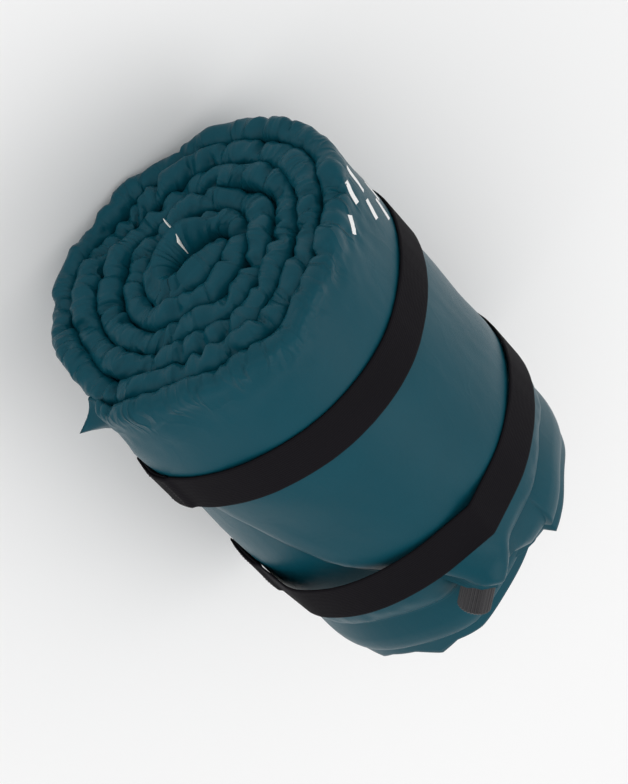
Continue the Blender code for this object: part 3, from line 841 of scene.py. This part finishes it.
    def hood(self, points: Array) -> Array:
        """How far the fabric is pushed up by the valve under it, as a share of the full height.

        Args:
            points: World places on the mat before it is pushed up.

        Returns:
            Shares, from 0 away from the valve to 1 over its neck.
        """
        origin, along, side = valve_axes()
        away = points - origin
        forward = away @ along
        across = np.abs(away @ side)
        half_width = self.hood_width + self.hood_flare * np.clip(-forward, 0, None)
        spread = np.exp(-((across / half_width) ** 3))
        above = points[..., 2] - origin[2] + self.hood_below > 0
        return spread * ease((forward + self.hood_run) / self.hood_run) * above

    def lay_out(self, cut: dict[str, Array]) -> Layout:
        """Spread the section's points over the stations.

        Args:
            cut: The points across the mat.

        Returns:
            What is known of each point of the grid.
        """
        roll = self.roll
        angles, shares, past = self.stations()
        rows = len(angles)
        x, u, outer, to_edge = [np.tile(cut[key], (rows, 1)) for key in ("x", "u", "outer", "inside")]
        share = shares[:, None] + np.zeros_like(x)
        slanted = share > 0
        along_x = np.maximum(x, roll.half_stack)
        ends = roll.ends_at(along_x, outer)
        angle = np.where(slanted, roll.last_full + share * (ends - roll.last_full), angles[:, None])
        beyond = past[:, None] + np.zeros_like(x)
        edge = np.where(outer, roll.outer_edge, roll.inner_edge)
        outside = np.clip((x - edge) / roll.flange, 0, 1)
        corner = np.sqrt(1 - 0.5 * (beyond / roll.flange) ** 2)
        rounded = np.minimum(x, edge) + roll.flange * outside * corner
        beyond = beyond * np.sqrt(1 - 0.5 * outside**2)
        at_valve = self.hood(roll.place(x, ends, np.full_like(x, -roll.slot / 2)))
        beyond = beyond * (1 - self.hood_tuck * np.clip(at_valve * 1.5, 0, 1))
        at_flap = np.clip(1 - np.abs(x - self.flap_place) / self.flap_half_width, 0, None)
        flap = self.flap_length * at_flap * outer
        beyond = beyond * (1 + flap / roll.flange)
        angle = angle + beyond / roll.end_radius
        mean = roll.radius(angle) + roll.ovality / 2
        s = (mean**2 - (roll.start_radius + roll.ovality / 2) ** 2) * math.pi / roll.pitch
        to_end = np.where(slanted, (ends - angle) * roll.end_radius, 1.0)
        to_inner_end = (roll.ends_at(along_x, np.zeros_like(outer)) - angle) * roll.end_radius
        inside = np.minimum(np.minimum(to_edge, to_end), np.maximum(s, 0.5 * MM))
        rise = np.clip(inside / self.edge_taper, 0, 1)
        full = np.sqrt(np.clip(1 - (1 - rise) ** 2, 0, 1))
        plain_height = np.where(outer, roll.half_stack, -roll.slot / 2)
        hood = self.hood(roll.place(x, angle, plain_height)) * slanted
        return Layout(
            x, rounded, u, outer, slanted, angle, s, beyond, flap, to_end, to_inner_end, inside, full, hood
        )

    def thicken(self, grid: Layout, pressed: Array, swell: Array) -> Array:
        """Thickness of each half's padding, with the skin's creases and pleats.

        Args:
            grid: The points.
            pressed: How much the slanted end is pressed flat.
            swell: How much the open edge puffs out.

        Returns:
            Thicknesses, from the slot side to the shown side.
        """
        roll = self.roll
        full_thick = roll.half_stack - roll.slot / 2 - np.where(grid.outer, 0.0, pressed) + swell
        thick = self.flange_thickness + (full_thick - self.flange_thickness) * grid.full
        front = np.exp(-((grid.u / self.fold_front) ** 2))
        puff = (self.fold_puff + self.fold_ripple.over(grid.places)) * front
        creased = 1 - np.abs(self.crease_ripple.over(grid.places))
        at_front, elsewhere = self.crease_height
        crumple = at_front * creased * front + elsewhere * creased * (1 - front)
        near_edge = np.exp(-np.clip(grid.inside, 0, None) / (12 * MM))
        pucker = self.edge_ripple.over(grid.places) * near_edge * (grid.inside > 0)
        relief = puff + crumple + self.wide_ripple.over(grid.places) + pucker
        skin = thick + (relief - self.pleats.depths(grid.s, grid.u)) * grid.full
        skin = np.maximum(skin, self.flange_thickness)
        room = np.clip(roll.radius(grid.angle) - roll.slot / 2 - skin, 0, self.core_room)
        filled, fading = self.core_turn
        first_turn = 1 - ease((grid.angle - roll.start_angle - filled) / fading)
        return skin + np.where(grid.outer, 0.0, self.core_fill * room * first_turn * grid.full)

    def edge_line(self, grid: Layout) -> Array:
        """Place along X of the slot side, which wanders at the fold and at the open end.

        Args:
            grid: The points.

        Returns:
            Distances from the folded edge.
        """
        roll = self.roll
        slot_x = grid.rounded
        margin = np.clip((grid.x - roll.inner_edge) / roll.flange, 0, 1) * ~grid.outer
        for turned, long, half_width in self.corners:
            point = np.clip(1 - np.abs(np.degrees(grid.angle) - turned) / half_width, 0, None)
            slot_x = slot_x + long * MM * point * margin
        along = grid.s[..., None]
        wander = sum(ripple.over(along) for ripple in self.wander)
        wander *= np.exp(-((np.maximum(grid.x, 0) / self.wander_reach) ** 2))
        start, length = self.open_ramp
        edge_wander = self.open_wander.over(along) * ease((grid.x - start) / length)
        return slot_x + wander + edge_wander

    def build(self) -> Object:
        """Shape the mat and make its mesh.

        Returns:
            The mat, standing for the two skins and the foam.
        """
        roll = self.roll
        cut = self.section()
        grid = self.lay_out(cut)
        rows, columns = grid.x.shape
        pressed = self.end_press * (1 - ease(grid.to_inner_end / self.end_press_reach)) * grid.slanted
        pressed = pressed * grid.free
        beyond_outer = ease((grid.x - roll.outer_edge + 3 * MM) / (12 * MM)) * ~grid.outer
        swell = self.open_puff * beyond_outer * grid.free
        skin = self.thicken(grid, pressed, swell)

        settle = (1 - grid.full) * (~grid.outer) * grid.free
        droop = -self.margin_droop * settle * grid.slanted * ease((grid.x - 12 * MM) / (30 * MM))
        spring = self.flap_lift * (grid.flap / self.flap_length) * (grid.beyond / roll.flange) ** 1.5
        slumped = np.clip(1 - grid.to_end / self.end_sag_reach, 0, 1) ** 2
        sag = -self.end_sag * slumped * grid.slanted * grid.free
        slot_h = np.tile(cut["height"], (rows, 1)) + droop + spring + sag - pressed + swell * grid.full
        slot_x = self.edge_line(grid)
        top_h = slot_h + cut["out_h"] * skin
        top_x = slot_x + cut["out_x"] * skin * self.fold_fullness
        raised = self.hood_rise * grid.hood + self.hood_ripple.over(grid.places) * grid.hood
        slot_h = slot_h + raised
        top_h = top_h + raised * np.where(grid.outer, 1.0, 1 - ease(grid.inside / (3 * MM)))
        seam = np.exp(-(((np.abs(grid.inside + 4.2 * MM) - 1.6 * MM) / (0.55 * MM)) ** 2))
        top_h = top_h - np.sign(cut["out_h"]) * self.weld_depth * seam * (grid.inside < 0)

        upper = self.warp(roll.place(top_x, grid.angle, top_h))
        lower = self.warp(roll.place(slot_x, grid.angle, slot_h))
        self.shown = upper
        faces = slab_faces(rows, columns, flip=True)
        self.made = made = mesh_object("mat_cover", np.concatenate([upper, lower]), faces, self.finish)
        write_uv(made, np.concatenate([grid.places, grid.places]))
        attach(made, "mat")
        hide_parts("base_fabric", "foam_core", "top_fabric")
        return made


# ---- the elastic bands ----
@dataclass
class Way:
    """A band's way round the roll, with one entry for each step along it.

    run is the distance along the band, path the Y and Z of the outline under it, out the outward
    direction, and inner and outer are the heights of the band's two faces over the outline.
    """

    turn: float
    run: Array
    path: Array
    out: Array
    inner: Array
    outer: Array

    def at(self, distance: float) -> tuple[Array, Array, float]:
        """What there is at a distance along the band.

        Args:
            distance: Distance from the band's hidden end.

        Returns:
            Y and Z, the outward direction and the height of the outer face.
        """
        middle = np.array([np.interp(distance, self.run, self.path[:, k]) for k in range(2)])
        normal = np.array([np.interp(distance, self.run, self.out[:, k]) for k in range(2)])
        return middle, normal, float(np.interp(distance, self.run, self.outer))


@dataclass(frozen=True)
class Stitch:
    """A bowed length of thread that dips into the cloth at both ends, one of a sewn box."""

    margin: float = 3.5 * MM
    pitch: float = 2.6 * MM
    length: float = 2.0 * MM
    thickness: float = 0.45 * MM
    sunk: float = 0.1 * MM
    bow: float = 0.25 * MM
    end_size: float = 0.35
    rings: int = 5
    sides: int = 6

    def starts(self, width: float, first: float, last: float) -> list[tuple[float, float, bool]]:
        """Where the stitches of a box begin.

        Args:
            width: The band's width.
            first: Where the box begins along the band.
            last: Where it ends.

        Returns:
            For each stitch, its place across and along the band and whether it runs across.
        """
        far = width - self.margin
        lengthwise = np.arange(first, last - self.length, self.pitch)
        crosswise = np.arange(self.margin, far - self.length, self.pitch)
        made = [(x, at, False) for x in (self.margin, far) for at in lengthwise]
        return made + [(x, at, True) for at in (first, last) for x in crosswise]

    def faces(self, start: int) -> list[tuple[int, ...]]:
        """Faces of one stitch.

        Args:
            start: Index of its first vertex.

        Returns:
            The faces between its rings, and those that close its ends.
        """
        made = []
        for ring in range(start, start + (self.rings - 1) * self.sides, self.sides):
            for k in range(self.sides):
                a, b = ring + k, ring + (k + 1) % self.sides
                made.append((a, b, b + self.sides, a + self.sides))
        end = start + (self.rings - 1) * self.sides
        made.append(tuple(range(start, start + self.sides))[::-1])
        made.append(tuple(range(end, end + self.sides)))
        return made


@dataclass
class Band:
    """A stretched elastic band whose stitched lap stands off the roll."""

    node: str
    body: str
    cover: MatCover
    cloth: Material
    thread: Material
    thickness: float = 1.4 * MM
    underside: float = 0.05 * MM
    rim_share: float = 0.55
    rim_round: float = 0.05
    clearance: float = 0.5 * MM
    beside: float = 9 * MM
    slid: float = 0.0
    lap: float = 30 * MM
    lap_ramp: float = 4 * MM
    lap_gap: float = 0.15 * MM
    steps: int = 360
    smoothing: int = 13
    stitch: Stitch = Stitch()

    def outline(self) -> Array:
        """Convex outline of the mat along the band's travel, as the band is stretched over it.

        Returns:
            Y and Z of the corners, in order.
        """
        low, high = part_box(self.node)
        near, far = low.x - self.slid - self.beside, high.x + self.beside
        cloud = self.cover.shown.reshape(-1, 3)
        cloud = cloud[(cloud[:, 0] > near) & (cloud[:, 0] < far)][:, 1:]
        ordered = cloud[np.lexsort((cloud[:, 1], cloud[:, 0]))]
        hull: list[Array] = []
        for run in (ordered, ordered[::-1]):
            chain: list[Array] = []
            for point in run:
                while len(chain) > 1:
                    a, b = chain[-2], chain[-1]
                    if (b[0] - a[0]) * (point[1] - a[1]) - (b[1] - a[1]) * (point[0] - a[0]) > 0:
                        break
                    chain.pop()
                chain.append(point)
            hull += chain[:-1]
        return np.array(hull)

    def way(self) -> Way:
        """The band's way once round the roll and on over its lap.

        Returns:
            The way, from the end that the lap hides.
        """
        corners = self.outline()
        closed = np.vstack([corners, corners[:1]])
        length = np.concatenate([[0], np.cumsum(np.linalg.norm(np.diff(closed, axis=0), axis=1))])
        turn = length[-1]
        origin = length[corners[:, 0].argmin()] - self.lap / 2
        run = np.linspace(0, turn + self.lap, self.steps)
        around = (origin + run) % turn
        path = np.stack([np.interp(around, length, closed[:, k]) for k in range(2)], axis=-1)
        along = np.gradient(path, axis=0)
        along /= np.linalg.norm(along, axis=1)[:, None]
        out = np.stack([along[:, 1], -along[:, 0]], axis=-1)
        kernel = np.hanning(self.smoothing)
        kernel /= kernel.sum()
        spare = self.smoothing // 2 + 1
        for k in range(2):
            wrapped = np.concatenate([out[-spare:, k], out[:, k], out[:spare, k]])
            out[:, k] = np.convolve(wrapped, kernel, mode="same")[spare:-spare]
        out /= np.linalg.norm(out, axis=1)[:, None]
        lapped = ease((run - turn + self.lap_ramp / 2) / self.lap_ramp)
        inner = self.clearance + lapped * (self.thickness + self.lap_gap)
        return Way(float(turn), run, path, out, inner, inner + self.thickness)

    def build(self) -> Object:
        """Make the band and its stitching.

        Returns:
            The band.
        """
        low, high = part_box(self.node)
        way = self.way()
        width = high.x - low.x
        rim = np.array([0.0, 0.35, 1.2])
        across = np.concatenate([rim, np.linspace(3, 29, 12), width / MM - rim[::-1]]) * MM
        inward = np.clip(1 - np.abs(across - width / 2) / (width / 2), 0, None)
        rounded = np.sqrt(np.clip(inward / self.rim_round, 0, 1))
        crown = self.thickness * (self.rim_share + (1 - self.rim_share) * rounded)
        points = np.zeros((2, self.steps, len(across), 3))
        for layer, over in enumerate((crown, self.underside)):
            rise = way.inner[:, None] + over
            points[layer, :, :, 0] = low.x + across
            points[layer, :, :, 1:] = way.path[:, None] + way.out[:, None] * rise[..., None]
        made = mesh_object(self.node + "_elastic", points, slab_faces(self.steps, len(across)), self.cloth)
        uv = np.stack(np.meshgrid(way.run, across, indexing="ij"), axis=-1)
        write_uv(made, np.concatenate([uv, uv]))
        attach(made, self.body)
        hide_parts(self.node)
        self.sew(way, low.x, width)
        return made

    def sew(self, way: Way, low_x: float, width: float) -> None:
        """Lay a box of single stitches on the lap.

        Args:
            way: The band's way round the roll.
            low_x: The band's near edge.
            width: The band's width.
        """
        stitch = self.stitch
        first, last = way.turn + stitch.margin, way.turn + self.lap - stitch.margin
        points, faces = [], []
        for x, at, crossing in stitch.starts(width, first, last):
            faces += stitch.faces(len(points))
            far_x, far_at = (x + stitch.length, at) if crossing else (x, at + stitch.length)
            for ring in range(stitch.rings):
                t = ring / (stitch.rings - 1)
                bow = math.sin(math.pi * t)
                middle, normal, level = way.at(at * (1 - t) + far_at * t)
                level += bow * stitch.bow - stitch.sunk
                place_x = low_x + x * (1 - t) + far_x * t
                tangent = np.array([-normal[1], normal[0]])
                size = stitch.thickness / 2 * (stitch.end_size + (1 - stitch.end_size) * bow)
                for k in range(stitch.sides):
                    turned = 2 * math.pi * k / stitch.sides
                    side, up = size * math.cos(turned), size * math.sin(turned)
                    flat = middle + normal * (level + up) + tangent * (side if crossing else 0)
                    points.append((place_x + (0 if crossing else side), flat[0], flat[1]))
        made = mesh_object(self.node + "_stitches", np.array(points), faces, self.thread)
        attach(made, self.body)
        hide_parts(self.node + "_stitching")


# ---- valve, label and print ----
def dress_valve() -> None:
    """Give the valve's solids, which are kept as they are, their plastic or rubber."""
    neck = NECK_PLASTIC.build()
    finishes = {
        "valve_body": neck,
        "valve_plunger": neck,
        "valve_seal": SEAL_RUBBER.build(),
        "valve_cap": CAP_PLASTIC.build(),
    }
    for node, finish in finishes.items():
        for slot in frame["nodes"][node].material_slots:
            slot.material = finish


@dataclass
class CareLabel:
    """A white woven label sewn in beside the core, which stands out of the groove on its edge."""

    cover: MatCover
    finish: Material
    turned: float = math.radians(270)
    inner_radius: float = 3 * MM
    aside: float = 4.3 * MM
    length: float = 22 * MM
    lean: float = 2.2 * MM
    curl: float = 1.1 * MM
    skew: float = 1.2 * MM
    proud: float = 13.5 * MM
    depth: float = 26 * MM
    half_thickness: float = 0.2 * MM
    rows: int = 14
    columns: int = 12

    def build(self) -> Object:
        """Make the label as a thin bent sheet.

        Returns:
            The label.
        """
        roll = self.cover.roll
        along = np.linspace(0, 1, self.rows)
        deep = np.linspace(-self.proud, self.depth, self.columns)
        reach = self.inner_radius + self.length * along
        bend = self.lean * (2 * along - 1) + self.curl * np.sin(along * 5)
        y = roll.centre_y + self.aside + (reach * math.cos(self.turned) + bend)[:, None]
        z = roll.centre_z + (reach * math.sin(self.turned))[:, None]
        points = np.zeros((2, self.rows, self.columns, 3))
        for layer, lift in enumerate((self.half_thickness, -self.half_thickness)):
            points[layer, :, :, 0] = roll.fold_x + deep + self.skew * np.sin(along * 4)[:, None]
            points[layer, :, :, 1] = y + lift
            points[layer, :, :, 2] = z
        made = mesh_object("care_label_cloth", points, slab_faces(self.rows, self.columns), self.finish)
        uv = np.stack(np.meshgrid(along * self.length, deep, indexing="ij"), axis=-1)
        write_uv(made, np.concatenate([uv, uv]))
        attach(made, "mat")
        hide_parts("care_label")
        return made


@dataclass
class Print:
    """Plain bars screen-printed on the outside of the mat, near its folded end.

    Each bar runs from one place to another, both given as millimetres from the folded edge and
    degrees round the roll.
    """

    cover: MatCover
    finish: Material
    lift: float = 0.12 * MM
    stroke: float = 5.2 * MM
    ray_start: float = 20 * MM
    rows: int = 14
    columns: int = 5
    bars: tuple[tuple[float, float, float, float], ...] = (
        (6.0, 22.5, 19.0, 26.5),
        (11.0, 13.0, 28.0, 17.0),
        (35.0, -1.0, 48.0, 3.0),
        (39.0, 6.0, 52.0, 9.5),
        (45.0, 12.5, 58.0, 16.5),
        (30.0, 20.0, 41.0, 24.0),
        (11.0, 35.0, 17.5, 40.5),
    )

    def on_skin(self, tree: BVHTree, x: Array, around: Array) -> Array:
        """Places just above the mat's skin.

        Args:
            tree: The mat's faces.
            x: Distances from the folded edge.
            around: Angles round the roll in radians.

        Returns:
            World places.
        """
        roll = self.cover.roll
        found = []
        for place in self.cover.warp(roll.place(x, around, np.full_like(x, roll.half_stack))):
            centre = Vector((place[0], roll.centre_y, roll.centre_z))
            outward = (Vector(place) - centre).normalized()
            hit, normal, _, _ = tree.ray_cast(Vector(place) + outward * self.ray_start, -outward)
            if hit is None:
                hit, normal, _, _ = tree.find_nearest(Vector(place))
            if normal.dot(outward) < 0:
                normal = -normal
            found.append(hit + normal * self.lift)
        return np.array(found)

    def build(self) -> Object:
        """Make the marks as thin skins of ink laid on the mat.

        Returns:
            The marks.
        """
        mesh = self.cover.made.data
        corners, faces = [v.co for v in mesh.vertices], [tuple(f.vertices) for f in mesh.polygons]
        tree = BVHTree.FromPolygons(corners, faces)
        across = np.linspace(-0.5, 0.5, self.columns)[None, :] * self.stroke
        part = np.linspace(0, 1, self.rows)[:, None]
        radius = self.cover.roll.end_radius + self.cover.roll.half_stack
        points, faces = [], []
        for x0, turned0, x1, turned1 in self.bars:
            swept = math.radians(turned1 - turned0)
            ahead = np.array([(x1 - x0) * MM, swept * radius])
            ahead /= np.linalg.norm(ahead)
            x = x0 * MM + (x1 - x0) * MM * part - ahead[1] * across
            turned = math.radians(turned0) + swept * part + ahead[0] * across / radius
            faces += grid_faces(self.rows, self.columns, len(points) * x.size, flip=True)
            points.append(self.on_skin(tree, x.ravel(), turned.ravel()))
        made = mesh_object("printed_marks", np.concatenate(points), faces, self.finish)
        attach(made, "mat")
        return made


# ---- studio ----
@dataclass
class Studio:
    """Pale floor, soft light and the camera."""

    distance: float = 2.4
    tilt_from_axis: float = math.radians(46.2)
    right_of_view: tuple[float, float, float] = (0.495, 0.728, 0.475)
    aim: tuple[float, float, float] = (0.0, 4.49 * MM, 90.54 * MM)
    shift_right: float = -4.6 * MM
    shift_up: float = 5.2 * MM
    lens: float = 186.2
    sensor: float = 36.0
    far_clip: float = 20.0
    # Name, place, size and power of each soft light.
    lamps: tuple[tuple, ...] = (
        ("key", (0.9, 0.9, 2.2), 1.6, 14.0),
        ("fill", (-1.6, -0.6, 1.4), 1.8, 5.0),
        ("rim", (0.2, -2.0, 0.9), 1.2, 3.0),
    )
    lamp_target: tuple[float, float, float] = (0.0, 0.0, 0.08)
    surround: str = "#f5f5f5"
    surround_light: float = 0.9
    paint: str = "#f3f3f3"
    floor_reach: float = 12.0
    floor_gap: float = 0.3 * MM

    def build(self) -> None:
        """Set up the camera, the lights and the floor."""
        self.camera()
        self.lights()
        self.floor()

    def camera(self) -> None:
        """A long lens that looks down on the folded end."""
        data = bpy.data.cameras.new("camera")
        data.lens = self.lens
        data.sensor_width = self.sensor
        data.clip_end = self.far_clip
        camera = bpy.data.objects.new("camera", data)
        bpy.context.scene.collection.objects.link(camera)
        back = Vector((-math.cos(self.tilt_from_axis), 0.0, math.sin(self.tilt_from_axis)))
        right = Vector(self.right_of_view)
        right = (right - back * right.dot(back)).normalized()
        up = back.cross(right)
        aim = Vector(self.aim) + right * self.shift_right + up * self.shift_up
        place = aim + back * self.distance
        camera.matrix_world = Matrix([*zip(right, up, back, place), (0, 0, 0, 1)])
        bpy.context.scene.camera = camera

    def lights(self) -> None:
        """A large soft key above the open side, a broad fill, a rim and an even pale surround."""
        for name, place, size, power in self.lamps:
            data = bpy.data.lights.new(name, "AREA")
            data.size = size
            data.energy = power
            lamp = bpy.data.objects.new(name, data)
            bpy.context.scene.collection.objects.link(lamp)
            lamp.location = place
            facing = Vector(self.lamp_target) - Vector(place)
            lamp.rotation_euler = facing.to_track_quat("-Z", "Y").to_euler()
        world = bpy.data.worlds.new("surround")
        world.use_nodes = True
        background = world.node_tree.nodes["Background"]
        background.inputs["Color"].default_value = linear(self.surround)
        background.inputs["Strength"].default_value = self.surround_light
        bpy.context.scene.world = world
        bpy.context.scene.view_settings.view_transform = "Standard"

    def floor(self) -> None:
        """A wide pale floor, just under the bands."""
        around = ((-1, -1), (1, -1), (1, 1), (-1, 1))
        corners = [(self.floor_reach * x, self.floor_reach * y, -self.floor_gap) for x, y in around]
        # Matt emulsion paint, a little off white.
        paint, _, shader = new_material("matt_paint_floor")
        shader.inputs["Base Color"].default_value = linear(self.paint)
        shader.inputs["Roughness"].default_value = 0.9
        shader.inputs["Specular IOR Level"].default_value = 0.1
        mesh_object("floor", np.array(corners), [(0, 1, 2, 3)], paint)


def main() -> None:
    """Build the mat, dress the solids and set up the studio."""
    logging.basicConfig(level=logging.INFO, format="%(name)s: %(message)s")
    Studio().build()
    cover = MatCover(Roll(), SHELL_CLOTH.build())
    cover.build()
    LOG.info("mat cover: %d vertices", len(cover.made.data.vertices))
    elastic, thread = BAND_CLOTH.build(), THREAD.build()
    for node, body, slid in (("band_near", "near_band", 0.0), ("band_far", "far_band", 99 * MM)):
        band = Band(node, body, cover, elastic, thread, slid=slid).build()
        LOG.info("%s: %d vertices", band.name, len(band.data.vertices))
    dress_valve()
    LOG.info("valve: solids dressed")
    for piece in (CareLabel(cover, LABEL_CLOTH.build()).build(), Print(cover, INK.build()).build()):
        LOG.info("%s built", piece.name)


if __name__ == "__main__":
    main()
